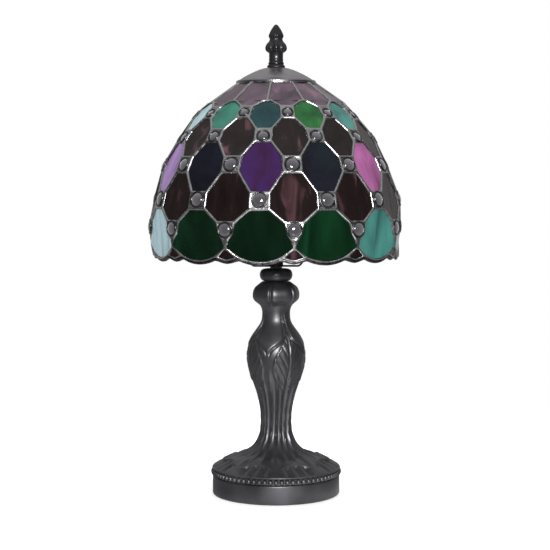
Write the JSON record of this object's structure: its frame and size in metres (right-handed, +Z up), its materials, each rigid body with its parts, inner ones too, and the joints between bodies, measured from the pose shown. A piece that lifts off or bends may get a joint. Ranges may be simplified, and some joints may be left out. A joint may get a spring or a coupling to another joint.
{
  "type": "leaded stained-glass table lamp",
  "caption": "Small table lamp: faceted dome of coloured glass pieces and glass jewels soldered in dark lines, on a cast leaf-pattern stem and ribbed round foot.",
  "frame": {"origin": "centre of the flat underside of the felt pad", "axes": "+Z up the lamp's axis; -Y is the front; +Y is the back, where the cord bushing is"},
  "size_m": [0.2034, 0.2034, 0.376],
  "materials": {
    "felt": "dark green felt",
    "cast_iron": "raw casting",
    "gunmetal_casting": "satin gunmetal finish over zinc casting",
    "zinc_steel": "zinc plated",
    "dark_steel": "satin black",
    "brass": "bright",
    "black_plastic": "satin moulded",
    "porcelain": "glazed porcelain",
    "fibre_board": "pressed fibre board",
    "opal_bulb_glass": "frosted white",
    "cap_metal": "satin grey metal",
    "dark_solder": "dark patinated solder with bright high spots",
    "mauve_crown_glass": "streaky mauve glass",
    "green_glass": "cathedral glass in greens and teals",
    "brown_glass_upper": "streaky brown glass",
    "violet_glass": "violet and navy glass",
    "brown_glass_lower": "streaky brown glass",
    "dark_green_glass": "dark green to teal glass"
  },
  "bodies": {
    "stand": {"felt_pad": "felt", "base_weight": "cast_iron", "plinth_ring": "gunmetal_casting", "foot_casting": "gunmetal_casting", "bottom_washer": "zinc_steel", "bottom_nut": "zinc_steel", "cord_bushing": "black_plastic", "column_casting": "gunmetal_casting", "neck_collar": "gunmetal_casting", "threaded_rod": "zinc_steel", "spacer_tube": "dark_steel", "harp_saddle": "dark_steel", "harp_wire": "dark_steel", "harp_stud": "brass", "socket_cap": "dark_steel", "socket_shell": "dark_steel", "insulating_sleeve": "fibre_board", "lampholder_body": "porcelain", "screw_shell": "brass", "centre_contact": "brass"},
    "switch": {"switch_stem": "brass", "switch_knob": "black_plastic"},
    "bulb_tip": {"bulb_contact": "zinc_steel"},
    "bulb": {"bulb_glass": "opal_bulb_glass", "bulb_base": "brass", "bulb_insulator": "black_plastic"},
    "sleeve_left": {"harp_sleeve_left": "dark_steel"},
    "sleeve_right": {"harp_sleeve_right": "dark_steel"},
    "shade_seat": {"cap_washer": "zinc_steel"},
    "shade": {"shade_cap": "cap_metal", "crown_ring": "brass", "glass_row_a": "mauve_crown_glass", "glass_row_b": "green_glass", "glass_row_c": "brown_glass_upper", "glass_row_d": "violet_glass", "glass_row_e": "brown_glass_lower", "glass_row_f": "dark_green_glass", "solder_lattice": "dark_solder", "rim_wire": "dark_solder"},
    "finial_seat": {"finial_washer": "dark_steel"},
    "finial": {"finial": "gunmetal_casting"}
  },
  "joints": [
    {"name": "switch_turn", "type": "hinge", "parent": "stand", "child": "switch", "pos_m": [0, -0.02, 0.212], "axis": [0, -1, 0], "continuous": true},
    {"name": "bulb_rise", "type": "slide", "parent": "stand", "child": "bulb_tip", "axis": [0, 0, 1], "range_m": [0, 0.01815]},
    {"name": "bulb_turn", "type": "hinge", "parent": "bulb_tip", "child": "bulb", "pos_m": [0, 0, 0.23], "axis": [0, 0, 1], "range_deg": [0, 1800]},
    {"name": "sleeve_left_rise", "type": "slide", "parent": "stand", "child": "sleeve_left", "axis": [0, 0, 1], "range_m": [0, 0.012]},
    {"name": "sleeve_right_rise", "type": "slide", "parent": "stand", "child": "sleeve_right", "axis": [0, 0, 1], "range_m": [0, 0.012]},
    {"name": "shade_lift", "type": "slide", "parent": "stand", "child": "shade_seat", "axis": [0, 0, 1], "range_m": [0, 0.175]},
    {"name": "shade_turn", "type": "hinge", "parent": "shade_seat", "child": "shade", "pos_m": [0, 0, 0.34], "axis": [0, 0, 1], "continuous": true},
    {"name": "finial_rise", "type": "slide", "parent": "shade", "child": "finial_seat", "axis": [0, 0, 1], "range_m": [0, 0.00847]},
    {"name": "finial_turn", "type": "hinge", "parent": "finial_seat", "child": "finial", "pos_m": [0, 0, 0.35], "axis": [0, 0, 1], "range_deg": [0, 3240]}
  ],
  "couplings": [
    {"joint": "bulb_turn", "follows": "bulb_rise", "rad_per_m": 1731.4},
    {"joint": "finial_turn", "follows": "finial_rise", "rad_per_m": 6679.3}
  ]
}
